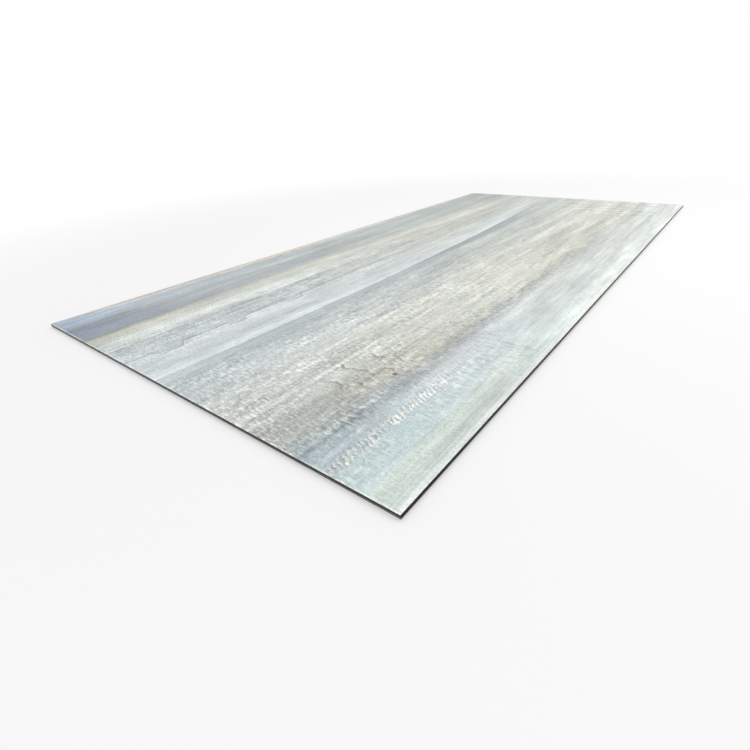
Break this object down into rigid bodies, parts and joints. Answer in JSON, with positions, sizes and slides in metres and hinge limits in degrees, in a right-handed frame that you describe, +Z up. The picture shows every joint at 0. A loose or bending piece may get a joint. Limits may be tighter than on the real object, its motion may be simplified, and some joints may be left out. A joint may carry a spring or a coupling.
{
  "type": "steel plate",
  "caption": "Flat rectangular hot-rolled steel plate with swollen rolled edges along its sides and sheared ends, raw stock for cutting, bending and welding.",
  "frame": {"origin": "middle of the underside, on the floor that the plate lies on", "axes": "+X along the length, which is the rolling direction; +Y across the width; +Z up, through the thickness"},
  "size_m": [2.5, 1.25, 0.01],
  "materials": {
    "mill_scale": "bare hot-rolled mill scale, satin, streaked blue-grey and tan along the rolling direction"
  },
  "bodies": {
    "root": {"plate": "mill_scale"}
  },
  "joints": []
}
